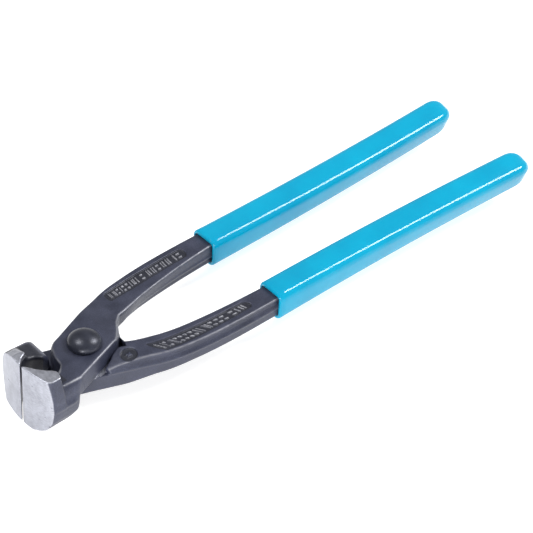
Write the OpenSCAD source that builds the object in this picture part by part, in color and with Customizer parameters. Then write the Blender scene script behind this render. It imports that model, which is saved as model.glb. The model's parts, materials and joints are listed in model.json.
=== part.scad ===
// End-cutting tile nippers: two forged levers in a lap joint on one rivet,
// each handle in a dipped plastic grip. The row frame has its origin at the
// centre of the tool's footprint, +X from the cutting edges to the handle
// ends, +Y to the handle of the upper lever and +Z up the rivet.

/* [Tool] */
// Length over everything
tool_length = 220; // [185:1:264]
// Distance from the rivet to the cutting edges
jaw_reach = 26; // [24:0.5:28]
// Turn of one lever against the other at rest, in degrees, 0 with the edges shut
rest_opening = 1.7; // [0:0.1:8]

/* [Jaws] */
// Length of the cutting edges
head_width = 26; // [20:0.5:32]
// Radius of the ground front of a jaw
front_radius = 42; // [22:0.5:60]
// How far past the other jaw's side the centre of that radius lies, which sets the angle at the edge
front_shift = 0.5; // [0:0.1:5]
// Width of one jaw, from the cutting edge to the flank's parting line
jaw_depth = 14.2; // [13:0.1:16]
// Length of the ground flat on the plate side of a jaw
jaw_land = 7.6; // [6:0.1:8]
// How far the flank draws in towards the jaw's other side
flank_draft = 6.8; // [2:0.1:8]

/* [Joint] */
// Thickness of one lever in the lap joint
plate_t = 6.95; // [5:0.05:9]
// Gap between the two faces of the lap joint
lap_gap = 0.1; // [0.06:0.02:0.3]
// Angle of the plate's straight sides to the tool's length
plate_angle = 18; // [15:0.5:21]
// Distance from the rivet to the straight side next to the other handle
chord_offset = 8.1; // [7.4:0.1:8.4]
// Distance from the rivet to the straight side that runs into the outside of the bow
back_offset = 9.45; // [9:0.05:10]
// Radius of the milled seat that the other lever's plate turns in
seat_r = 9.3; // [8.9:0.1:10]
// Radius of the plate's front corner
plate_front_r = 11.3; // [10.5:0.1:11.6]
// Clearance round the other lever's plate with the edges shut
seat_clearance = 0.4; // [0.3:0.05:0.6]

/* [Rivet] */
// Diameter of the rivet's shank
rivet_d = 8; // [6:0.25:9]
// Diameter of the rivet's domed head
dome_d = 11.6; // [10.5:0.1:13]
// Height of the domed head
dome_h = 4.4; // [2:0.1:5]
// Diameter of the set tail in the lower lever's face
tail_d = 10; // [9.2:0.2:11]
// Radial clearance of the lower lever on the shank
bore_clearance = 0.05; // [0.02:0.01:0.1]

/* [Handles] */
// Distance from the rivet to the mouth of the grips
grip_start = 67.5; // [60:0.5:80]
// Distance from the rivet's centre line to a handle at the mouth of its grip
handle_offset = 16.7; // [15.5:0.1:18.5]
// How much further out the end of a handle lies than the mouth
handle_flare = 1.3; // [0:0.1:6]
// How far a handle bows in between the mouth and its end
handle_bow = 0.95; // [0:0.05:2]
// Width of the steel handle at the mouth
shank_w = 8.5; // [7.5:0.1:9.5]
// Thickness of the steel handle at the mouth
shank_t = 8.2; // [7.5:0.1:9.5]
// Width and thickness of the steel handle at its end, as a share of those at the mouth
shank_taper = 0.8; // [0.7:0.05:1]

/* [Grips] */
// Width of a grip
grip_w = 11.6; // [11:0.1:14]
// Thickness of a grip
grip_t = 11.7; // [11:0.1:14]
// Radius of the grip's long edges
grip_edge_r = 3.4; // [2:0.1:5]
// Length of the rounded end of a grip
grip_nose = 9; // [6:0.5:12]
// Plastic beyond the end of the steel handle
grip_end_wall = 5; // [3:0.5:8]

/* [Marks] */
// Depth of the recessed panels in the levers
panel_depth = 0.45; // [0.2:0.05:0.8]

/* [Hidden] */
$fn = 96;
eps = 0.01;
bow_steps = 16;
handle_steps = 10;
// The widest that the handles open, in degrees from the edges shut
full_opening = 20;
tip_x = tool_length - jaw_reach;
shank_end_x = tip_x - grip_end_wall;
half_joint = lap_gap / 2;
plate_top = half_joint + plate_t;
bore_d = rivet_d + 2 * bore_clearance;
head_half = head_width / 2;
tail_h = (tail_d - rivet_d) / 2;
// The rivet's place in the row frame
pivot = [jaw_reach - tool_length / 2, 0, head_half];

// Basic helpers
function mix(a, b, t) = a * (1 - t) + b * t;
function polar(r, a) = r * [cos(a), sin(a)];
function bezier(p, t) =
    p[0] * pow(1 - t, 3) + 3 * p[1] * t * pow(1 - t, 2) + 3 * p[2] * t * t * (1 - t) + p[3] * pow(t, 3);
function curve(p, steps) = [for (i = [0:steps]) bezier(p, i / steps)];
function arc(centre, r, from, to, steps) = [for (i = [0:steps]) centre + polar(r, mix(from, to, i / steps))];
function turned_over(points) = [for (p = points) [p[0], -p[1]]];

// Plate: a bar that lies at plate_angle. A point at a distance along and across it from the rivet
function bar(along, across) = polar(along, plate_angle) + polar(across, plate_angle + 90);
front_corner = polar(plate_front_r, 148);
// How far back the plate's straight edge runs
chord_end = 7.6;
// The plate's hollow front edge, from the jaw to the front corner
plate_front = [[-14.6, -5], [-12.4, -2.6], [-11.7, 1.4]];
chord_front = bar(-13.5, -chord_offset);
chord_back = bar(chord_end, -chord_offset);
plate_back = [[11.3, -3.9], [13.3, -1.2], [15.8, 2.4]];
plate_back_r = 13.9;

// Handle: its centre line, width and slope at a distance x from the rivet
function along_handle(x) = (x - grip_start) / (tip_x - grip_start);
function handle_y(x) =
    handle_offset + handle_flare * along_handle(x)
    - 4 * handle_bow * along_handle(x) * (1 - along_handle(x));
function handle_share(x) = mix(1, shank_taper, max(0, along_handle(x)));
mouth_run = [1, (handle_flare - 4 * handle_bow) / (tip_x - grip_start)];

// Bow: its outer and inner edges between the joint and the mouth of the grip
bow_start = bar(22, back_offset + 1.1);
mouth_outer = [grip_start, handle_offset + shank_w / 2];
mouth_inner = [grip_start, handle_offset - shank_w / 2];
outer_edge = [bow_start, bar(33, back_offset + 1.8), mouth_outer - 22 * mouth_run, mouth_outer];
// The forging draws in towards its other side, so each side has its own inner edge
inner_edges = [[[18.8, 5.2], [26, 7], [44, handle_offset - 5.8], mouth_inner],
               [[11.9, 4.6], [17, 9.5], [38, handle_offset - 4.5], mouth_inner]];
front_edge = [front_corner, front_corner + [2.4, 2.1], bar(-5, back_offset), bar(1, back_offset + 0.25)];
function bow_point(side, t, share) = mix(bezier(inner_edges[side], t), bezier(outer_edge, t), share);

// Jaw: its ground front is an arc that starts at the cutting edge
front_centre = [sqrt(pow(front_radius, 2) - pow(front_shift, 2)) - jaw_reach, front_shift];
front_from = 180 + asin((jaw_depth - 1.2 + front_shift) / front_radius);
front_to = 180 + asin(front_shift / front_radius);
land_x = jaw_land - jaw_reach;
// Where the jaw's rounded shoulder starts, in X and Z
jaw_rear = [-11.4, 0];
// The inside of a jaw, on the plate's side and on the other side
hollows = [[[0.9 - jaw_reach, -0.9], [3 - jaw_reach, -4.2], [5.2 - jaw_reach, -6.8], [land_x - 0.3, -8.6],
            plate_front[0]],
           [[0.7 - jaw_reach, -0.5], [2.3 - jaw_reach, -2.2], [4.2 - jaw_reach, -3.2], [-18, -3],
            [-15.5, -1.5]]];
function jaw_points(side) = concat(
    [chord_front,
     [-12.8, 1 - jaw_depth],
     [-15.2, -jaw_depth],
     [-19, 0.4 - jaw_depth],
     [-21, 0.6 - jaw_depth]],
    arc(front_centre, front_radius, front_from, front_to, 12),
    hollows[side]);

// Outline of a whole lever seen along the rivet, on the plate's side (0) or on the other side (1)
function lever_points(side) = concat(
    curve(front_edge, 8),
    curve(outer_edge, bow_steps),
    [for (i = [1:handle_steps])
        let (x = mix(grip_start, shank_end_x, i / handle_steps))
        [x, handle_y(x) + handle_share(x) * shank_w / 2]],
    [for (i = [handle_steps:-1:1])
        let (x = mix(grip_start, shank_end_x, i / handle_steps))
        [x, handle_y(x) - handle_share(x) * shank_w / 2]],
    [for (i = [bow_steps:-1:0]) bezier(inner_edges[side], i / bow_steps)],
    [for (i = [2 - side:-1:0]) plate_back[i]],
    [chord_back],
    jaw_points(side),
    [plate_front[1], plate_front[2]]);

// Extrudes a shape drawn in X and Z across the whole tool
module across() {
    rotate([90, 0, 0]) linear_extrude(80, center = true) children();
}

// Height of the steel from the middle of the joint, along the bow and the handle. The side away from
// the plate is no thicker than the handle, and slopes up to the milled seat
side_heights = [[9, plate_top], [19, shank_t / 2 + 1], [32, shank_t / 2 + 0.2], [grip_start, shank_t / 2],
                [tip_x, shank_taper * shank_t / 2]];
other_heights = [[tip_x, shank_taper * shank_t / 2], [grip_start, shank_t / 2], [32, shank_t / 2 + 0.2],
                 [19, shank_t / 2 + 0.3], [13.5, shank_t / 2 + 0.35], [8, shank_t / 2 - 0.4],
                 [3, shank_t / 2 - 1.8], [-2, shank_t / 2 - 3.2], [-5, 0]];
module bow_side() {
    polygon(concat(
        [[-40, plate_top]],
        side_heights,
        turned_over(other_heights),
        [[-40, 0]]));
}

// Extrudes the outline of each side of a lever from the middle of the joint, to both sides
module halves() {
    for ($side = [0, 1])
        mirror([0, 0, $side]) translate([0, 0, -eps * $side]) linear_extrude(40 + eps) children();
}

// Side view of the jaw: a square step behind its land, and a rounded shoulder on its other side
module jaw_side() {
    polygon(concat(
        [[-40, head_half], [land_x, head_half], [land_x + 0.7, plate_top], [0, plate_top], [0, 0]],
        curve([jaw_rear, [-11.6, -head_half * 0.42], [-13.8, -head_half * 0.84], [-20.5, -head_half]], 10),
        [[-40, -head_half]]));
}

// End view of the jaw, whose flank is upright on the plate's side of the parting line
module jaw_end() {
    polygon(concat(
        [[eps, head_half], [0.6 - jaw_depth, head_half], [-jaw_depth, 0]],
        curve([[-jaw_depth, 0], [0.2 - jaw_depth, -head_half * 0.42],
               [flank_draft / 2 - jaw_depth, -head_half * 0.8],
               [flank_draft - jaw_depth, -head_half]], 8),
        [[eps, -head_half]]));
}

module jaw() {
    intersection() {
        halves() polygon(concat(jaw_points($side), [[-9, -3]]));
        across() jaw_side();
        rotate([90, 0, 90]) linear_extrude(80, center = true) jaw_end();
    }
}

// A slice of a disc between two directions
module slice(r, from, to) {
    intersection() {
        circle(r);
        polygon([[0, 0], for (i = [0:4]) polar(2 * r, mix(from, to, i / 4))]);
    }
}

// Room for the other lever's plate: the milled seat, and the cuts past its two ends
module seat() {
    depth = plate_top + 1;
    c = seat_clearance;
    translate([0, 0, half_joint - depth]) linear_extrude(depth) {
        circle(seat_r);
        slice(norm(plate_front[1]) + c, seat_front, 262);
        slice(plate_back_r, -100, 30);
        polygon(turned_over([
            [0, 0], bar(0, -chord_offset - c), bar(chord_end + c, -chord_offset - c),
            plate_back[0] + [c, -c], plate_back[1] + [c, -c]]));
    }
}
// Where the wall of the seat ends towards the jaws, so that the plate is free when fully open
seat_front = 90 - plate_angle - full_opening + acos(chord_offset / seat_r) - 2;

// A recessed panel that follows the bow, between shares of its width given for its two ends
module panel(side, from, to, low, high) {
    steps = 12;
    tip = 0.015;
    linear_extrude(panel_depth + 3)
        polygon(concat(
            [for (i = [0:steps]) bow_point(side, mix(from, to, i / steps), mix(low[0], low[1], i / steps))],
            [bow_point(side, to + tip, (low[1] + high[1]) / 2)],
            [for (i = [steps:-1:0]) bow_point(side, mix(from, to, i / steps), mix(high[0], high[1], i / steps))],
            [bow_point(side, from - tip, (low[0] + high[0]) / 2)]));
}

// The steel inside a grip, which is also the grip's hollow
module handle_core() {
    intersection() {
        halves() polygon(lever_points($side));
        across() bow_side();
        translate([grip_start, 0, -20]) cube([tool_length, 60, 40]);
    }
}

// One forged lever with the edges shut: its plate is the upper one, its jaw the -Y one, its handle the +Y one
module lever(bore) {
    difference() {
        union() {
            intersection() {
                halves() polygon(lever_points($side));
                across() bow_side();
            }
            jaw();
        }
        seat();
        translate([0, 0, -20]) cylinder(h = 40, d = bore);
        translate([0, 0, panel_floor]) panel(0, 0.12, 0.84, [0.5, 0.24], [0.86, 0.72]);
        mirror([0, 0, 1]) {
            translate([0, 0, panel_floor]) panel(1, 0.14, 0.86, [0.34, 0.26], [0.9, 0.68]);
            translate([10.5, 10.6, shank_t / 2 - panel_depth]) cylinder(h = 2, d = 5.8);
        }
    }
}
// Height of a panel's floor, which is as deep as set where the bow meets the handle
panel_floor = shank_t / 2 + 0.2 - panel_depth;

// One grip on the lever that its handle belongs to
module grip() {
    rings = 28;
    sides = 32;
    span = tip_x - grip_start;
    // Stations along the grip, closer together on the rounded end
    function station(i) = i < 14 ? mix(0, 1 - grip_nose / span, i / 14)
                                 : 1 - grip_nose / span * (1 - sin(90 * (i - 14) / (rings - 14)));
    function nose(s) = s * span <= span - grip_nose ? 1
        : sqrt(max(0.0004, 1 - pow((s * span - span + grip_nose) / grip_nose, 2)));
    function corner(a, size, r) = sign(cos(a)) * (size / 2 - r) + r * cos(a);
    function corner_z(a, size, r) = sign(sin(a)) * (size / 2 - r) + r * sin(a);
    points = [for (i = [0:rings], j = [0:sides - 1])
        let (s = station(i),
             x = grip_start + s * span,
             a = 360 * (j + 0.5) / sides,
             k = nose(s))
        [x, handle_y(x) + k * corner(a, grip_w, grip_edge_r), k * corner_z(a, grip_t, grip_edge_r)]];
    faces = concat(
        [[for (j = [0:sides - 1]) j]],
        [for (i = [0:rings - 1], j = [0:sides - 1])
            let (n = (j + 1) % sides, a = i * sides, b = a + sides)
            [a + j, b + j, b + n, a + n]],
        [[for (j = [sides - 1:-1:0]) rings * sides + j]]);
    difference() {
        polyhedron(points = points, faces = faces, convexity = 4);
        handle_core();
    }
}

// The rivet: a domed head on the upper lever, a plain shank and a tail set flush in the lower one
module rivet() {
    rim = 0.7;
    color("dimgray") translate(pivot) rotate_extrude()
        polygon(concat(
            [[0, -plate_top], [tail_d / 2, -plate_top], [rivet_d / 2, -plate_top + tail_h],
             [rivet_d / 2, plate_top], [dome_d / 2 - rim / 2, plate_top]],
            [for (i = [0:16])
                [dome_d / 2 * cos(90 * i / 16), plate_top + rim + (dome_h - rim) * sin(90 * i / 16)]]));
}

// Turns a part of the upper lever to the rest pose; the lower lever is the same, turned over about X
module as_upper() {
    translate(pivot) rotate([0, 0, rest_opening / 2]) children();
}
module as_lower() {
    translate(pivot) rotate([0, 0, -rest_opening / 2]) rotate([180, 0, 0]) children();
}

module upper_lever() {
    color("darkslategray") as_upper() lever(rivet_d);
}
module lower_lever() {
    color("darkslategray") difference() {
        as_lower() lever(bore_d);
        translate(pivot) countersink();
    }
}
// The seat of the rivet's tail, wider all round by the bore's clearance
module countersink() {
    translate([0, 0, -plate_top])
        rotate_extrude()
            polygon([[0, -1], [tail_d / 2 + bore_clearance, -1], [tail_d / 2 + bore_clearance, 0],
                     [bore_d / 2, tail_h], [0, tail_h]]);
}
module upper_grip() {
    color("deepskyblue") as_upper() grip();
}
module lower_grip() {
    color("deepskyblue") as_lower() grip();
}

upper_lever();
lower_lever();
rivet();
upper_grip();
lower_grip();
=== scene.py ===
import json
import math

import bpy
import numpy as np
from mathutils import Matrix, Vector


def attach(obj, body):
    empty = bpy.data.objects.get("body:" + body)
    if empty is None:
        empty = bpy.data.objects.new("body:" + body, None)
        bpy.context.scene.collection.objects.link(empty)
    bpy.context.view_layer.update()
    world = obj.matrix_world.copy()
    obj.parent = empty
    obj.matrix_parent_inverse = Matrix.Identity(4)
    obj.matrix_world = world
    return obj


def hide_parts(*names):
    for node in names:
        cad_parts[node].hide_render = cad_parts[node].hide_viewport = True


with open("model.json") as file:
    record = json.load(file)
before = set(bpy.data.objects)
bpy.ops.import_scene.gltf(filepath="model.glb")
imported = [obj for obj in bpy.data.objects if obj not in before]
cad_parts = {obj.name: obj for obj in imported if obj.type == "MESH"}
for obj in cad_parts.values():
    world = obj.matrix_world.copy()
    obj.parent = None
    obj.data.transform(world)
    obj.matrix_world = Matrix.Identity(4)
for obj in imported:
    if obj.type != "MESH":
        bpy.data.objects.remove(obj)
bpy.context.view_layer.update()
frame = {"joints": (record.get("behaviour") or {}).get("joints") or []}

# Sizes are in millimetres, in a frame at the rivet with the edges shut:
# +X to the handles, +Y to the handle of the upper lever, +Z to the rivet's dome
MM = 0.001

# Head: rivet to edges, half its width, the arc of its ground front, a jaw's depth and its land
JAW_REACH = 26.0
HEAD_HALF = 13.0
FRONT_R, FRONT_SHIFT = 42.0, 0.5
JAW_DEPTH, JAW_LAND = 14.4, 7.6
EDGE_BACK = 0.13

# Lap joint: gap to the middle plane, top of the plate, its slant and the sides of its bar
HALF_GAP, PLATE_TOP = 0.05, 7.0
PLATE_ANGLE = math.radians(18)
CHORD_OFFSET, BACK_OFFSET = 8.1, 9.45
CHORD_END = 7.6
SEAT_R, PLATE_FRONT_R, PLATE_BACK_R = 9.3, 11.3, 13.9
SEAT_CLEARANCE = 0.4

# Handles: where the grips start, distance from the middle, spread and bow, and the steel's section
GRIP_START, HANDLE_OFFSET, FLARE, BOW = 67.5, 16.7, 1.3, 0.95
SHANK_W, SHANK_T = 8.5, 8.2
TIP_X = 194.0
INSIDE_GRIP = 5.0

# Grips: section, edge radius, length of the rounded end, twist and taper towards the tip
GRIP_W, GRIP_T, GRIP_EDGE_R, GRIP_NOSE = 11.6, 11.7, 3.0, 8.0
GRIP_TURN, GRIP_TAPER = math.radians(16), 0.05

# Rivet and the bore that it sits in
DOME_R, DOME_H, DOME_RIM = 5.8, 4.4, 0.75
TAIL_R, RIVET_R, BORE_R, COUNTERSINK = 5.0, 4.0, 4.08, 1.05

# Recessed panels, and the round recess at the root of the bow
PANEL_DEPTH = 0.5
RECESS_X, RECESS_Y, RECESS_R, RECESS_DEPTH = 10.5, 10.6, 2.9, 0.65

# Half of the angle between the levers at rest, and the size of a cell of the distance field
REST_TURN = math.radians(0.85)
STEP = 0.3
FAR = 9.0

pivot = np.array(frame["joints"][0]["pos_m"]) / MM


# ---------------------------------------------------------------- outlines
def arr(*points):
    return np.array(points, float)


def polar(r, degrees):
    return np.array([r * math.cos(math.radians(degrees)), r * math.sin(math.radians(degrees))])


def bar(along, across):
    c, s = math.cos(PLATE_ANGLE), math.sin(PLATE_ANGLE)
    return np.array([along * c - across * s, along * s + across * c])


def bezier(p, t):
    t = np.asarray(t, float)[..., None]
    u = 1 - t
    return p[0] * u**3 + 3 * p[1] * t * u**2 + 3 * p[2] * t * t * u + p[3] * t**3


def curve(p, steps):
    return bezier(p, np.linspace(0, 1, steps + 1))


mouth_run = np.array([1.0, (FLARE - 4 * BOW) / (TIP_X - GRIP_START)])
mouth_outer = np.array([GRIP_START, HANDLE_OFFSET + SHANK_W / 2])
mouth_inner = np.array([GRIP_START, HANDLE_OFFSET - SHANK_W / 2])
front_corner = polar(PLATE_FRONT_R, 148)
chord_front = bar(-13.5, -CHORD_OFFSET)
chord_back = bar(CHORD_END, -CHORD_OFFSET)
plate_front = arr([-14.6, -5], [-12.4, -2.6], [-11.7, 1.4])
plate_back = arr([11.3, -3.9], [13.3, -1.2], [15.8, 2.4])
outer_edge = arr(bar(22, BACK_OFFSET + 1.1), bar(33, BACK_OFFSET + 1.8),
                 mouth_outer - 22 * mouth_run, mouth_outer)
front_edge = arr(front_corner, front_corner + [2.4, 2.1],
                 bar(-5, BACK_OFFSET), bar(1, BACK_OFFSET + 0.25))
# Of the two numbers, 0 is the side with the plate and 1 the side turned away from it
inner_edges = [
    arr([18.8, 5.2], [26, 7], [44, HANDLE_OFFSET - 5.8], mouth_inner),
    arr([11.9, 4.6], [17, 9.5], [38, HANDLE_OFFSET - 4.5], mouth_inner),
]
hollows = [
    arr([-28.5, 2.4], [-25.1, -0.9], [-23, -4.2], [-20.8, -6.8], [-18.7, -8.6], [-14.6, -5]),
    arr([-28.5, 2.2], [-25.3, -0.5], [-23.7, -2.2], [-21.8, -3.2], [-18, -3], [-15.5, -1.5]),
]
front_centre = np.array([math.sqrt(FRONT_R**2 - FRONT_SHIFT**2) - JAW_REACH, FRONT_SHIFT])
land_x = JAW_LAND - JAW_REACH


def bow_point(side, t, share):
    return bezier(inner_edges[side], t) * (1 - share) + bezier(outer_edge, t) * share


def bow_outline(side):
    run = INSIDE_GRIP * mouth_run
    back = plate_back[: 3 - side][::-1]
    return np.vstack([
        curve(front_edge, 10), curve(outer_edge, 30), [mouth_outer + run, mouth_inner + run],
        curve(inner_edges[side], 30)[::-1], back, [chord_back, chord_front],
        [[-17.4, -11.4], [-19.8, -11.2], [-19.8, -7.8]], plate_front,
    ])


def jaw_outline(side):
    return np.vstack([
        [chord_front, [-12.8, 1 - JAW_DEPTH], [-15.2, -JAW_DEPTH], [-19, 0.3 - JAW_DEPTH],
         [-21.5, 0.5 - JAW_DEPTH], [-30, 1.5 - JAW_DEPTH]],
        hollows[side], [[-9, -3]],
    ])


# ---------------------------------------------------------------- distance fields
def polygon_distance(points, px, py):
    """Signed distance to a closed outline, negative inside."""
    best = np.full(px.shape, 1e9, np.float32)
    inside = np.zeros(px.shape, bool)
    for (ax, ay), (bx, by) in zip(points, np.roll(points, -1, axis=0)):
        ex, ey = bx - ax, by - ay
        wx, wy = px - ax, py - ay
        t = np.clip((wx * ex + wy * ey) / max(ex * ex + ey * ey, 1e-12), 0, 1)
        best = np.minimum(best, (wx - ex * t) ** 2 + (wy - ey * t) ** 2)
        crosses = (ay <= py) != (by <= py)
        if crosses.any():
            x_at = ax + (py - ay) * ex / (ey if abs(ey) > 1e-12 else 1e-12)
            inside ^= crosses & (px < x_at)
    return np.where(inside, -np.sqrt(best), np.sqrt(best)).astype(np.float32)


def smooth_max(a, b, r):
    h = np.maximum(r - np.abs(a - b), 0) / r
    return np.maximum(a, b) + h * h * r * 0.25


def smooth_min(a, b, r):
    return -smooth_max(-a, -b, r)


def ease(values, start, width):
    """0 before the start, then rising straight to 1 over the width."""
    return np.clip((values - start) / width, 0, 1)


def bell(values, centre, width):
    return np.exp(-(((values - centre) / width) ** 2))


def box_blur(values, width):
    """Two passes of a running mean."""
    kernel = np.ones(width) / width
    padded = np.pad(values, width, mode="edge")
    return np.convolve(np.convolve(padded, kernel, "same"), kernel, "same")[width:-width]


class Grid:
    def __init__(self, low, high, step):
        self.low, self.step = np.array(low, float), step
        self.x, self.y, self.z = (np.arange(a, b + step, step, dtype=np.float32)
                                  for a, b in zip(low, high))
        self.X, self.Y, self.Z = self.x[:, None, None], self.y[None, :, None], self.z[None, None, :]

    def plan(self, points):
        return polygon_distance(points, *np.meshgrid(self.x, self.y, indexing="ij"))[:, :, None]

    def side(self, points):
        return polygon_distance(points, *np.meshgrid(self.x, self.z, indexing="ij"))[:, None, :]

    def end(self, points):
        return polygon_distance(points, *np.meshgrid(self.y, self.z, indexing="ij"))[None, :, :]


def surface_nets(field, low, step):
    """A quad mesh of the field's zero surface, with one vertex in each cell that it crosses."""
    solid = field < 0
    shape = np.array(field.shape) - 1
    corners = [(i, j, k) for i in (0, 1) for j in (0, 1) for k in (0, 1)]

    def part(a, c):
        return a[c[0]:c[0] + shape[0], c[1]:c[1] + shape[1], c[2]:c[2] + shape[2]]

    count = np.zeros(shape, np.int8)
    for c in corners:
        count += part(solid, c)
    cells = np.argwhere((count > 0) & (count < 8))
    values = {c: field[cells[:, 0] + c[0], cells[:, 1] + c[1], cells[:, 2] + c[2]] for c in corners}
    total, hits = np.zeros((len(cells), 3)), np.zeros(len(cells))
    for c in corners:
        for axis in range(3):
            if c[axis] == 0:
                d = tuple(1 if i == axis else v for i, v in enumerate(c))
                a, b = values[c], values[d]
                cross = (a < 0) != (b < 0)
                t = np.where(cross, a / np.where(cross, a - b, 1), 0)
                place = np.array(c, float)[None, :] + np.eye(3)[axis][None, :] * t[:, None]
                total += np.where(cross[:, None], place, 0)
                hits += cross
    points = (cells + total / hits[:, None]) * step + low
    index = np.full(shape, -1, np.int32)
    index[tuple(cells.T)] = np.arange(len(cells))
    quads = []
    for axis in range(3):
        u, v = (axis + 1) % 3, (axis + 2) % 3
        first = [slice(None)] * 3
        second = [slice(None)] * 3
        first[axis], second[axis] = slice(None, -1), slice(1, None)
        a, b = solid[tuple(first)], solid[tuple(second)]
        for outward in (True, False):
            found = np.argwhere((a & ~b) if outward else (~a & b))
            at_u, at_v = found[:, u], found[:, v]
            found = found[(at_u > 0) & (at_v > 0) & (at_u < shape[u]) & (at_v < shape[v])]
            ring = []
            for du, dv in ((-1, -1), (0, -1), (0, 0), (-1, 0)):
                place = found.copy()
                place[:, u] += du
                place[:, v] += dv
                ring.append(index[tuple(place.T)])
            ring = np.stack(ring, 1)
            quads.append(ring if outward else ring[:, ::-1])
    return points, np.vstack(quads)


def sample(field, grid, points):
    """The field at points between its corners."""
    p = (points - grid.low) / grid.step
    base = np.clip(np.floor(p).astype(int), 0, np.array(field.shape) - 2)
    f = p - base
    shares = [(1 - f[:, axis], f[:, axis]) for axis in range(3)]
    out = 0
    for i in (0, 1):
        for j in (0, 1):
            for k in (0, 1):
                share = shares[0][i] * shares[1][j] * shares[2][k]
                out = out + share * field[base[:, 0] + i, base[:, 1] + j, base[:, 2] + k]
    return out


def settle(field, grid, points, rounds=3):
    """Moves points onto the zero surface along the field's slope."""
    e = grid.step * 0.5
    for _ in range(rounds):
        value = sample(field, grid, points)
        slope = np.stack([(sample(field, grid, points + d) - sample(field, grid, points - d)) / (2 * e)
                          for d in np.eye(3) * e], 1)
        move = value[:, None] * slope / np.maximum((slope**2).sum(1), 0.05)[:, None]
        points = points - np.clip(move, -0.5 * grid.step, 0.5 * grid.step) * 0.8
    return points


# ---------------------------------------------------------------- the forging
def half_height(x, up):
    """The forging's half height along it, on the plate's side (up = 1) or the other (up = -1)."""
    fine = np.arange(-45, 90, 0.1)
    if up > 0:
        known = np.interp(fine, [-45, 8.5, 18, 31, GRIP_START, 90], [7, 7, 5.15, 4.3, 4.1, 4.0])
    else:
        known = np.interp(fine, [-45, -2, 3, 8, 13.5, 19, 31, GRIP_START, 90],
                          [0.9, 0.9, 2.3, 3.7, 4.45, 4.4, 4.3, 4.1, 4.0])
    return np.interp(x, fine, box_blur(known, 25)).astype(np.float32)


def panel_outline(side, start, end, low, high):
    """A rounded strip along the bow; low and high are its edges' shares of the width at each end."""
    t = np.linspace(start, end, 16)
    w = np.linspace(0, 1, 16)
    lower = [bow_point(side, a, low[0] + (low[1] - low[0]) * b) for a, b in zip(t, w)]
    upper = [bow_point(side, a, high[0] + (high[1] - high[0]) * b) for a, b in zip(t, w)]
    tip = [bow_point(side, end + 0.017, (low[1] + high[1]) / 2 + d) for d in (-0.1, 0.1)]
    tail = [bow_point(side, start - 0.02, (low[0] + high[0]) / 2 + d) for d in (0.1, -0.1)]
    return np.array(lower + tip + upper[::-1] + tail)


def mark_outlines(side, start, end, low, high, seed):
    """Plain raised bars in a panel, in place of lettering: uprights and pairs of dashes."""
    rng = np.random.default_rng(seed)
    out = []

    def spot(u, v):
        t = start + (end - start) * u
        a, b = low[0] + (low[1] - low[0]) * u, high[0] + (high[1] - high[0]) * u
        return bow_point(side, t, a + (b - a) * v)

    u = 0.035
    while u < 0.95:
        kind = rng.integers(0, 3)
        w = 0.014 if kind == 0 else 0.036
        if kind == 0:
            blocks = [(u, u + w, 0.2, 0.8)]
        elif kind == 1:
            blocks = [(u, u + w, 0.22, 0.38), (u, u + w, 0.62, 0.78)]
        else:
            blocks = [(u, u + w * 0.36, 0.2, 0.8), (u + w * 0.6, u + w, 0.2, 0.8)]
        for a, b, c, d in blocks:
            out.append(np.array([spot(a, c), spot(b, c), spot(b, d), spot(a, d)]))
        u += w + (0.02 if rng.random() < 0.8 else 0.045)
    return out


def slice_outline(r, start, end):
    return np.vstack([[0, 0], [polar(r, a) for a in np.linspace(start, end, 40)]])


def bow_field(g, height):
    """Plate and bow, which lean in towards the other side of the forging."""
    X, Y, Z = g.X, g.Y, g.Z
    lean = ease(Z, -4.2, 8.4)
    plan = g.plan(bow_outline(1)) * (1 - lean) + g.plan(bow_outline(0)) * lean
    near_outer = ease(Y, 9, 3)
    parting = 0.4 * bell(Z, -0.4, 0.6) - 0.4 * bell(Z, -2.2, 0.8)
    swell = ease(X, 9, 3) * ease(-X, -32, 10) * ease(Y, -3.5, 2.5)
    swell = swell * ease(-Y, -12, 5)
    plan = plan + 0.06 * np.abs(Z) - 0.1 - parting * near_outer - swell * (1.5 - 0.2 * np.abs(Z))
    top = np.abs(Z) - height
    return smooth_max(plan, top, 0.9), plan, top


def seat_field(g):
    """The milled seat for the other lever's plate, in plan."""
    c = SEAT_CLEARANCE
    seat_front = 90 - 18 - 20 + math.degrees(math.acos(CHORD_OFFSET / SEAT_R)) - 2
    corner = np.array([[0, 0], bar(0, -CHORD_OFFSET - c), bar(CHORD_END + c, -CHORD_OFFSET - c),
                       plate_back[0] + [c, -c], plate_back[1] + [c, -c]]) * [1, -1]
    front_r = float(np.hypot(*plate_front[1])) + c
    seat = np.sqrt(g.X**2 + g.Y**2) - SEAT_R
    for points in (slice_outline(front_r, seat_front, 262), slice_outline(PLATE_BACK_R, -100, 30), corner):
        seat = np.minimum(seat, g.plan(points))
    return seat


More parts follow.
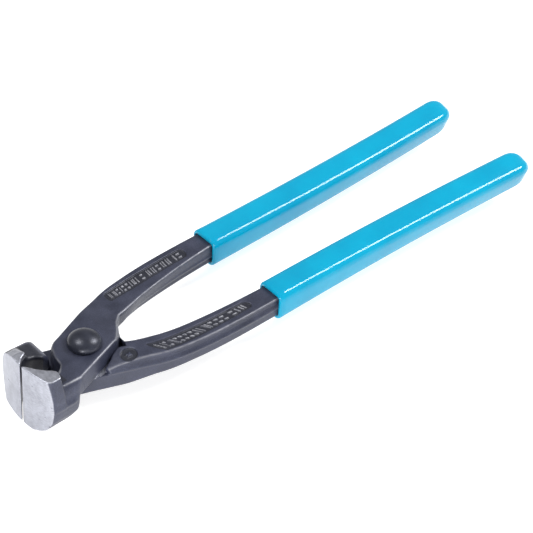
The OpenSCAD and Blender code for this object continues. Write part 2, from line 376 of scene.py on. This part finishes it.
def jaw_field(g):
    """A rounded forging, and then its ground front and ends."""
    X, Y, Z = g.X, g.Y, g.Z
    d = JAW_DEPTH
    lean = ease(Z, -9, 20)
    jaw_plan = g.plan(jaw_outline(1)) * (1 - lean) + g.plan(jaw_outline(0)) * lean
    flank = arr([-d, 0.4], [0.75 - d, -1.6], [1.5 - d, -5.3], [2.7 - d, -8.0], [4.0 - d, -9.7],
                [6.2 - d, -11.3], [8.6 - d, -12.4], [10.8 - d, -13.5])
    hump = [[12, 18], [2.4 - d, 18], [1.9 - d, 13], [1.2 - d, 9], [0.3 - d, 3.6]]
    end = g.end(np.vstack([hump, flank, [[12, -13.5]]]))
    shoulder = np.vstack([curve(arr([-11.4, 0.05], [-11.6, -5.0], [-12.8, -8.8], [-17.4, -9.2]), 12),
                          [[-20.2, -10.0], [-20.9, -11.2], [-21.1, -13.2]]])
    rear = g.side(np.vstack([[[-40, 18], [land_x, 18], [land_x, 13], [land_x + 0.9, PLATE_TOP - 0.3],
                              [-6, PLATE_TOP - 0.3], [-6, HALF_GAP]], shoulder, [[-21.8, -17], [-40, -17]]]))
    corner_cut = (-0.77 * X - 0.64 * Y) - (27.2 - 0.1 * np.maximum(Z, 0))
    ridge = 0.3 * bell(Z, 0, 0.6) - 0.25 * bell(Z, 2.2, 1.2)
    beside_plate = (-Y - JAW_DEPTH + 0.37 * Z) * 0.94 - 3 * np.maximum(-18.2 - X, 0)
    end = smooth_max(end, beside_plate, 2.0)
    jaw = smooth_max(smooth_max(jaw_plan, end - ridge, 0.8), rear, 1.4)
    jaw = smooth_max(jaw, corner_cut, 0.8)
    front = np.sqrt((X - front_centre[0]) ** 2 + (Y - front_centre[1]) ** 2) - FRONT_R
    leaf = np.abs(Z) - HEAD_HALF
    jaw = smooth_max(smooth_max(jaw, front, 0.1), leaf, 0.1)
    return np.maximum(jaw, Y + EDGE_BACK), front, leaf


def with_panels(g, body, heights):
    """Recessed panels on both faces, with plain raised bars in them."""
    all_marks = np.full(1, FAR, np.float32)
    panels = [(1, 0, 0.12, 0.84, (0.5, 0.24), (0.86, 0.72), 5),
              (-1, 1, 0.14, 0.86, (0.34, 0.26), (0.9, 0.68), 8)]
    for up, side, start, stop, low, high, seed in panels:
        outline = g.plan(panel_outline(side, start, stop, low, high))
        depth = heights[up] - up * g.Z
        body = smooth_max(body, -np.maximum(outline, depth - PANEL_DEPTH), 0.15)
        marks = np.full(outline.shape, FAR, np.float32)
        for m in mark_outlines(side, start, stop, low, high, seed):
            marks = np.minimum(marks, g.plan(m))
        body = smooth_min(body, np.maximum(marks, np.maximum(0.04 - depth, depth - 1.0)), 0.12)
        all_marks = np.where(up * g.Z > 0, marks, all_marks)
    return body, all_marks


def with_round_recess(g, body, heights):
    """A round recess with a plain cross standing in it."""
    X, Y = g.X, g.Y
    from_top = g.Z + heights[-1]
    spot_r = np.sqrt((X - RECESS_X) ** 2 + (Y - RECESS_Y) ** 2)
    body = smooth_max(body, -np.maximum(spot_r - RECESS_R, from_top - RECESS_DEPTH), 0.15)
    rising = np.abs(X - Y + (RECESS_Y - RECESS_X))
    falling = np.abs(X + Y - (RECESS_X + RECESS_Y))
    cross = np.minimum(np.maximum(rising, falling / 3), np.maximum(falling, rising / 3))
    knob = np.maximum(np.maximum(cross - 0.55, 0.05 - from_top), from_top - 1.2)
    return smooth_min(body, knob, 0.12)


def forging():
    """The upper lever's field, with fields for its finish."""
    g = Grid((-27.3, -15.6, -13.9), (GRIP_START + INSIDE_GRIP - 0.5, 22.6, 13.9), STEP)
    heights = {up: half_height(g.x, up)[:, None, None] for up in (1, -1)}
    height = np.where(g.Z > 0, heights[1], heights[-1])

    bow, plan, top = bow_field(g, height)
    seat = seat_field(g)
    bow = smooth_max(bow, -np.maximum(seat, g.Z - HALF_GAP), 0.2)
    slant = (g.X + 7 + 2.07 * g.Z) * 0.435
    bow = smooth_max(bow, -np.maximum(g.Z - HALF_GAP, slant), 0.3)

    jaw, front, leaf = jaw_field(g)
    body = smooth_min(bow, jaw, 0.9)
    body, marks = with_panels(g, body, heights)
    body = with_round_recess(g, body, heights)

    # Bore, countersunk in the outer face, where the lower lever takes the rivet's tail
    axis_r = np.sqrt(g.X**2 + g.Y**2)
    hole = axis_r - BORE_R - np.clip(g.Z - PLATE_TOP + COUNTERSINK, 0, COUNTERSINK)
    body = np.maximum(body, -hole)
    return g, body.astype(np.float32), (plan, top, front, leaf, marks)


def lever_mesh():
    g, body, fields = forging()
    # The field is closed at the end that lies inside the grip
    body[-1, :, :] = 1
    points, quads = surface_nets(body, g.low, g.step)
    return g, settle(body, g, points), quads, fields


def new_mesh(name, points, faces, material, smooth=True):
    mesh = bpy.data.meshes.new(name)
    mesh.from_pydata([tuple(p) for p in points], [], [tuple(f) for f in faces])
    mesh.update()
    if smooth:
        mesh.polygons.foreach_set("use_smooth", [True] * len(mesh.polygons))
    mesh.materials.append(material)
    obj = bpy.data.objects.new(name, mesh)
    bpy.context.scene.collection.objects.link(obj)
    return obj


def set_attribute(obj, name, values):
    attribute = obj.data.attributes.new(name, "FLOAT", "POINT")
    attribute.data.foreach_set("value", np.asarray(values, np.float32))


def placed(points, upper):
    """Points of the upper lever with the edges shut, as either lever lies at rest, in metres."""
    p = points.copy()
    if not upper:
        p[:, 1:] *= -1
    a = REST_TURN if upper else -REST_TURN
    c, s = math.cos(a), math.sin(a)
    p = np.stack([p[:, 0] * c - p[:, 1] * s, p[:, 0] * s + p[:, 1] * c, p[:, 2]], 1)
    return (p + pivot) * MM


# ---------------------------------------------------------------- materials
def node_material(name):
    m = bpy.data.materials.new(name)
    m.use_nodes = True
    t = m.node_tree
    shader = t.nodes["Principled BSDF"]
    return m, t, shader


def add(t, kind, **values):
    n = t.nodes.new(kind)
    for k, v in values.items():
        if k in n.inputs.keys():
            n.inputs[k].default_value = v
        else:
            setattr(n, k, v)
    return n


def noise(t, vector, scale, detail=2.0, rough=0.5):
    n = add(t, "ShaderNodeTexNoise")
    n.inputs["Scale"].default_value = scale
    n.inputs["Detail"].default_value = detail
    n.inputs["Roughness"].default_value = rough
    t.links.new(vector, n.inputs["Vector"])
    return n.outputs["Fac"]


def ramp(t, value, stops):
    n = add(t, "ShaderNodeValToRGB")
    e = n.color_ramp.elements
    while len(e) < len(stops):
        e.new(0.5)
    for el, (at, colour) in zip(e, stops):
        el.position = at
        el.color = (*colour, 1)
    t.links.new(value, n.inputs["Fac"])
    return n.outputs["Color"]


def grey(v):
    return (v, v, v)


def feed(t, socket, value):
    """Sets a number or a colour on a socket, or links another socket to it."""
    if isinstance(value, (int, float)):
        socket.default_value = value
    elif isinstance(value, tuple):
        socket.default_value = (*value, 1)
    else:
        t.links.new(value, socket)


def math_node(t, op, a, b, clamp=False):
    n = add(t, "ShaderNodeMath", operation=op)
    n.use_clamp = clamp
    for socket, value in zip(n.inputs, (a, b)):
        feed(t, socket, value)
    return n.outputs[0]


def mix_colour(t, fac, a, b, blend="MIX"):
    n = add(t, "ShaderNodeMix", data_type="RGBA", blend_type=blend)
    for i, value in ((0, fac), (6, a), (7, b)):
        feed(t, n.inputs[i], value)
    return n.outputs[2]


def mix_value(t, fac, a, b):
    n = add(t, "ShaderNodeMix", data_type="FLOAT")
    for i, value in ((0, fac), (2, a), (3, b)):
        feed(t, n.inputs[i], value)
    return n.outputs[0]


def scaled(t, vector, scale):
    n = add(t, "ShaderNodeMapping")
    n.inputs["Scale"].default_value = scale
    t.links.new(vector, n.inputs["Vector"])
    return n.outputs["Vector"]


def bump(t, shader, height, distance, strength=1.0):
    n = add(t, "ShaderNodeBump")
    n.inputs["Distance"].default_value = distance
    n.inputs["Strength"].default_value = strength
    t.links.new(height, n.inputs["Height"])
    t.links.new(n.outputs["Normal"], shader.inputs["Normal"])


def steel_material():
    m, t, shader = node_material("forged_steel")
    place = add(t, "ShaderNodeTexCoord").outputs["Object"]
    ground = add(t, "ShaderNodeAttribute", attribute_name="ground").outputs["Fac"]
    wear_and_highlight = add(t, "ShaderNodeAttribute", attribute_name="wear_and_highlight").outputs["Fac"]
    deep = add(t, "ShaderNodeAttribute", attribute_name="deep").outputs["Fac"]

    # Black phosphated skin: fine grain, cloudy tone, painted shade in recesses, and bright where its edges
    # are rubbed, with a painted highlight along them
    fine = noise(t, place, 2600, 3, 0.6)
    cloud = noise(t, place, 160, 4, 0.55)
    skin = ramp(t, cloud, [(0.3, (0.024, 0.0275, 0.049)), (0.72, (0.043, 0.048, 0.08))])
    speck = ramp(t, fine, [(0.35, grey(0.75)), (0.7, grey(1.25))])
    skin = mix_colour(t, 1.0, skin, speck, "MULTIPLY")
    # Painted shade: the skin is darkened on the recessed panel floors and in the throat between the jaws,
    # where shade falls
    skin = mix_colour(t, math_node(t, "MULTIPLY", deep, 0.75, True), skin, (0.012, 0.013, 0.018))
    rub_noise = ramp(t, noise(t, place, 300, 3, 0.6), [(0.22, grey(0.15)), (0.55, grey(1.0))])
    # Rubbed bare edges plus painted highlight: the bright, more metallic band is strongest on the edges that
    # catch the light
    rub_and_highlight = math_node(t, "MULTIPLY", wear_and_highlight, rub_noise, True)
    skin = mix_colour(t, rub_and_highlight, skin, (0.55, 0.55, 0.58))

    # Ground steel: grain across the head, a few dark nicks
    grain = noise(t, scaled(t, place, (0.5, 0.3, 1.0)), 2600, 4, 0.7)
    patches = noise(t, scaled(t, place, (1.0, 1.0, 0.5)), 300, 3, 0.6)
    steel = ramp(t, grain, [(0.25, (0.27, 0.28, 0.32)), (0.75, (0.47, 0.48, 0.54))])
    steel = mix_colour(t, 1.0, steel, ramp(t, patches, [(0.3, grey(0.82)), (0.7, grey(1.08))]), "MULTIPLY")
    nick_noise = noise(t, scaled(t, place, (0.5, 0.5, 2.4)), 420, 2, 0.5)
    nick = ramp(t, nick_noise, [(0.71, grey(0.0)), (0.745, grey(1.0))])
    steel = mix_colour(t, nick, steel, (0.06, 0.065, 0.08))

    t.links.new(mix_colour(t, ground, skin, steel), shader.inputs["Base Color"])
    metal = math_node(t, "MAXIMUM", ground, rub_and_highlight, True)
    t.links.new(mix_value(t, metal, 0.18, 0.85), shader.inputs["Metallic"])
    skin_rough = ramp(t, cloud, [(0.3, grey(0.36)), (0.7, grey(0.5))])
    steel_rough = ramp(t, grain, [(0.3, grey(0.34)), (0.7, grey(0.46))])
    t.links.new(mix_colour(t, ground, skin_rough, steel_rough), shader.inputs["Roughness"])
    height = mix_value(t, ground, math_node(t, "ADD", fine, math_node(t, "MULTIPLY", cloud, 1.6)),
                       math_node(t, "MULTIPLY", grain, 0.5))
    bump(t, shader, height, 0.00006, 0.9)
    return m


def rivet_material():
    m, t, shader = node_material("rivet_steel")
    place = add(t, "ShaderNodeTexCoord").outputs["Object"]
    fine = noise(t, place, 2600, 3, 0.6)
    cloud = noise(t, place, 380, 3, 0.5)
    t.links.new(ramp(t, cloud, [(0.3, (0.015, 0.017, 0.028)), (0.75, (0.028, 0.031, 0.048))]),
                shader.inputs["Base Color"])
    shader.inputs["Metallic"].default_value = 0.3
    t.links.new(ramp(t, cloud, [(0.3, grey(0.31)), (0.7, grey(0.38))]), shader.inputs["Roughness"])
    bump(t, shader, math_node(t, "ADD", fine, math_node(t, "MULTIPLY", cloud, 1.5)), 0.00003, 0.8)
    return m


def grip_material():
    m, t, shader = node_material("grip_plastic")
    place = add(t, "ShaderNodeTexCoord").outputs["Object"]
    cloud = noise(t, place, 60, 3, 0.5)
    ripple = noise(t, scaled(t, place, (0.35, 1, 1)), 240, 2, 0.5)
    t.links.new(ramp(t, cloud, [(0.3, (0.0, 0.26, 0.43)), (0.75, (0.0, 0.32, 0.5))]),
                shader.inputs["Base Color"])
    t.links.new(ramp(t, ripple, [(0.3, grey(0.08)), (0.7, grey(0.13))]), shader.inputs["Roughness"])
    shader.inputs["Specular IOR Level"].default_value = 0.28
    shader.inputs["Subsurface Weight"].default_value = 0.08
    shader.inputs["Subsurface Radius"].default_value = (0.0005, 0.001, 0.0015)
    bump(t, shader, math_node(t, "ADD", ripple, cloud), 0.00002, 0.3)
    return m


# ---------------------------------------------------------------- levers
def at(points, grid, field):
    field = np.broadcast_to(field, (len(grid.x), len(grid.y), len(grid.z)))
    return sample(field, grid, points)


def ground_near(field):
    return np.clip(1.6 + field / 0.16, 0, 1)


def finish_masks(points, grid, fields):
    """How far each point is ground bright, rubbed bright with a painted highlight at an edge, or darkened
    with painted shade in a recess or the throat.
    """
    plan, top, front, leaf, marks = (at(points, grid, f) for f in fields)
    x, y, z = points.T
    ground = np.maximum(ground_near(front), ground_near(leaf)) * (x < -14)
    milled = (np.hypot(x, y) < SEAT_R + 0.5) & (np.abs(z - HALF_GAP) < 0.4)
    tip = (x < -20.9) & (z < -11) & (y < -0.5)
    ground = np.maximum(ground, (milled | tip) * 1.0)

    # Rubbed edges and painted highlight: a bright band along the edges and on the tops of the raised bars
    edge_distance = np.sqrt(np.maximum(plan, -3) ** 2 + np.maximum(top, -3) ** 2)
    wear_and_highlight = np.exp(-(edge_distance / 0.33) ** 2) * ease(x, -19, 12)
    # These weights by face and side put the strongest painted highlight on the top edges that catch the
    # light
    inner_face = y < np.interp(x, [-20, 0, 20, 67], [30, 5, 11, 16.5])
    wear_and_highlight *= np.where(inner_face, np.where(z > 0, 1.0, 0.35), np.where(z > 0, 0.2, 0.8))
    on_mark = (marks < 0.12) * ease(top, -0.3, 0.15)
    wear_and_highlight = np.maximum(wear_and_highlight, on_mark * 0.4)

    # Painted shade: a mask for darkening on the floors of the recessed panels and in the throat between the
    # jaws
    recess = ease(np.abs(z), 2, 0.5) * ease(-top, 0.22, 0.15)
    recess *= (plan < -0.9) & (x > 5)
    throat_shade = (x < -15) & (ground < 0.2) & (y > -10)
    return {"ground": ground, "wear_and_highlight": wear_and_highlight, "deep": np.maximum(recess * 0.95, throat_shade * 1.0)}


steel = steel_material()
grid, lever_points, lever_quads, fields = lever_mesh()
masks = finish_masks(lever_points, grid, fields)

for name, upper in (("upper_forging", True), ("lower_forging", False)):
    obj = new_mesh(name, placed(lever_points, upper), lever_quads, steel)
    for mask, values in masks.items():
        set_attribute(obj, mask, values)
    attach(obj, "upper_half" if upper else "lower_half")
    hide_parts("upper_lever" if upper else "lower_lever")


# ---------------------------------------------------------------- rivet
def lathe(name, profile, sides, material):
    """A closed solid turned about the rivet's axis; the profile starts and ends on the axis."""
    a = np.linspace(0, 2 * math.pi, sides, endpoint=False)
    rings = [np.stack([r * np.cos(a), r * np.sin(a), np.full(sides, z)], 1) for r, z in profile[1:-1]]
    points = np.vstack([[[0, 0, profile[0][1]]], *rings, [[0, 0, profile[-1][1]]]])
    faces = [(0, 1 + (j + 1) % sides, 1 + j) for j in range(sides)]
    for i in range(len(rings) - 1):
        lo, hi = 1 + i * sides, 1 + (i + 1) * sides
        faces += [(lo + j, lo + (j + 1) % sides, hi + (j + 1) % sides, hi + j) for j in range(sides)]
    last, tip = 1 + (len(rings) - 1) * sides, len(points) - 1
    faces += [(last + j, last + (j + 1) % sides, tip) for j in range(sides)]
    return new_mesh(name, (points + pivot) * MM, faces, material)


# The profile runs up from the tail in its countersink, along the shank and over the dome
dome_base, tail_low = PLATE_TOP + DOME_RIM, -PLATE_TOP - 0.05
dome = [(DOME_R * math.cos(t), dome_base + (DOME_H - DOME_RIM) * math.sin(t))
        for t in np.linspace(0, math.pi / 2, 25)[:-1]]
tail = [(0, tail_low), (TAIL_R - 0.5, tail_low), (TAIL_R - 0.15, tail_low + 0.05), (TAIL_R, tail_low + 0.2)]
shank = [(RIVET_R, -PLATE_TOP + 1), (RIVET_R, PLATE_TOP - 0.2)]
brim = [(DOME_R - 0.75, PLATE_TOP - 0.05), (DOME_R - 0.3, PLATE_TOP + 0.15),
        (DOME_R - 0.06, PLATE_TOP + 0.45)]
profile = tail + shank + brim + dome + [(0, PLATE_TOP + DOME_H)]
rivet = lathe("domed_rivet", profile, 96, rivet_material())
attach(rivet, "upper_half")
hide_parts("rivet")


# ---------------------------------------------------------------- grips
def rounded_section(w, h, r, per_corner=10):
    """A rectangle with round corners, one quarter turn at a time."""
    out = []
    for q in range(4):
        cx, cz = (w / 2 - r) * (1, -1, -1, 1)[q], (h / 2 - r) * (1, 1, -1, -1)[q]
        for t in np.linspace(q * 90, q * 90 + 90, per_corner, endpoint=True):
            out.append((cx + r * math.cos(math.radians(t)), cz + r * math.sin(math.radians(t))))
    return np.array(out)


def handle_y(x):
    """The middle of the handle, which spreads outwards and bows in."""
    s = (x - GRIP_START) / (TIP_X - GRIP_START)
    return HANDLE_OFFSET + FLARE * s - 4 * BOW * s * (1 - s)


def grip_mesh():
    """A sleeve, from inside its mouth, round the lip and along the outside to the rounded tip."""
    nose_x = TIP_X - GRIP_NOSE
    mouth = [(6.0, "bore"), (0.5, "bore"), (0, "lip_in"), (0, "lip_out"), (0.25, "edge"), (0.6, "full")]
    stations = [(GRIP_START + x, kind) for x, kind in mouth]
    stations += [(x, "full") for x in np.linspace(GRIP_START + 3, nose_x, 40)]
    stations += [(nose_x + GRIP_NOSE * math.sin(t), "nose") for t in np.linspace(0, math.pi / 2, 16)[1:-1]]
    nose_power = 2.3
    rings = []
    for x, kind in stations:
        if kind in ("bore", "lip_in"):
            gap = 0.12 if kind == "bore" else 0.35
            sec = rounded_section(SHANK_W + 2 * gap, SHANK_T + 2 * gap, 1.0)
        elif kind == "nose":
            k = max(1e-4, 1 - ((x - nose_x) / GRIP_NOSE) ** nose_power) ** (1 / nose_power)
            sec = rounded_section(GRIP_W, GRIP_T, GRIP_EDGE_R + (1 - k) * 1.6) * k
        else:
            inset = {"lip_out": 0.55, "edge": 0.14, "full": 0.0}[kind]
            sec = rounded_section(GRIP_W - 2 * inset, GRIP_T - 2 * inset, GRIP_EDGE_R - inset * 0.6)
        share = min(max((x - GRIP_START) / (TIP_X - GRIP_START), 0), 1)
        turn = GRIP_TURN * (1 - (1 - share) ** 2) if kind in ("full", "nose") else 0
        c, s = math.cos(turn), math.sin(turn)
        sec = (sec @ np.array([[c, s], [-s, c]])) * (1 - GRIP_TAPER * share)
        y = handle_y(x)
        rings.append(np.stack([np.full(len(sec), x), y + sec[:, 0], sec[:, 1]], 1))
    n = len(rings[0])
    points = np.vstack(rings + [[[TIP_X, handle_y(TIP_X), 0]]])
    faces = []
    for i in range(len(rings) - 1):
        for j in range(n):
            k = (j + 1) % n
            faces.append((i * n + j, (i + 1) * n + j, (i + 1) * n + k, i * n + k))
    last, tip = (len(rings) - 1) * n, len(points) - 1
    faces += [(last + j, tip, last + (j + 1) % n) for j in range(n)]
    faces.append(tuple(range(n)))
    return points, faces


plastic = grip_material()
grip_points, grip_faces = grip_mesh()
for name, upper in (("upper_sleeve", True), ("lower_sleeve", False)):
    obj = new_mesh(name, placed(grip_points, upper), grip_faces, plastic)
    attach(obj, "upper_half" if upper else "lower_half")
    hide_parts("upper_grip" if upper else "lower_grip")

# ---------------------------------------------------------------- camera, floor and light
# The camera's angles, its distance in metres, the point it looks at, and its lens in image widths
AZIMUTH, ELEVATION, ROLL = (math.radians(a) for a in (-44.41, 41.74, 3.86))
DISTANCE = 0.6957
AIM = np.array([78.34, -3.66, 0])
LENS_SHARE = 1969.42 / 533
SENSOR = 36
target = Vector((pivot + AIM) * MM)
back = Vector((math.sin(AZIMUTH) * math.cos(ELEVATION), -math.cos(AZIMUTH) * math.cos(ELEVATION),
               math.sin(ELEVATION)))
right = (-back).cross(Vector((0, 0, 1))).normalized()
up = right.cross(-back)
right, up = (math.cos(ROLL) * right + math.sin(ROLL) * up,
             -math.sin(ROLL) * right + math.cos(ROLL) * up)
camera_data = bpy.data.cameras.new("camera")
camera_data.sensor_width = SENSOR
camera_data.lens = SENSOR * LENS_SHARE
camera_data.clip_start = 0.01
camera = bpy.data.objects.new("camera", camera_data)
facing = Matrix((right, up, back)).transposed().to_4x4()
camera.matrix_world = Matrix.Translation(target + back * DISTANCE) @ facing
bpy.context.scene.collection.objects.link(camera)
bpy.context.scene.camera = camera

floor_material, _, floor_shader = node_material("floor")
floor_shader.inputs["Base Color"].default_value = (0.6, 0.6, 0.6, 1)
floor_shader.inputs["Roughness"].default_value = 0.9
floor_shader.inputs["Specular IOR Level"].default_value = 0.1
floor_shader.inputs["Emission Color"].default_value = (1, 1, 1, 1)
floor_shader.inputs["Emission Strength"].default_value = 0.72
FLOOR_HALF, FLOOR_Z = 6, -0.0002
floor_corners = [(x * FLOOR_HALF, y * FLOOR_HALF, FLOOR_Z) for x, y in ((-1, -1), (1, -1), (1, 1), (-1, 1))]
floor = new_mesh("floor", floor_corners, [(0, 1, 2, 3)], floor_material, smooth=False)


def area_light(name, place, size, power, look_at=(0, 0, 0.01)):
    data = bpy.data.lights.new(name, "AREA")
    data.shape = "RECTANGLE"
    data.size, data.size_y = size
    data.energy = power
    light = bpy.data.objects.new(name, data)
    light.location = place
    direction = Vector(look_at) - Vector(place)
    light.rotation_euler = direction.to_track_quat("-Z", "Y").to_euler()
    bpy.context.scene.collection.objects.link(light)


area_light("from_the_right", (0.75, -0.31, 0.82), (0.28, 0.5), 12, (-0.03, 0, 0.02))
area_light("from_above", (-0.44, 0.32, 1.12), (0.36, 0.36), 7, (-0.084, 0, 0.02))
area_light("from_the_front", (-0.5, -1.0, 0.3), (0.5, 0.3), 1.4)
area_light("beside_the_head", (-0.3, -0.13, 0.04), (0.16, 0.05), 0.6, (-0.1, 0, 0.012))

world = bpy.data.worlds.new("world")
bpy.context.scene.world = world
world.use_nodes = True
world.node_tree.nodes["Background"].inputs["Color"].default_value = (1, 1, 1, 1)
world.node_tree.nodes["Background"].inputs["Strength"].default_value = 0.45
bpy.context.scene.view_settings.view_transform = "Standard"
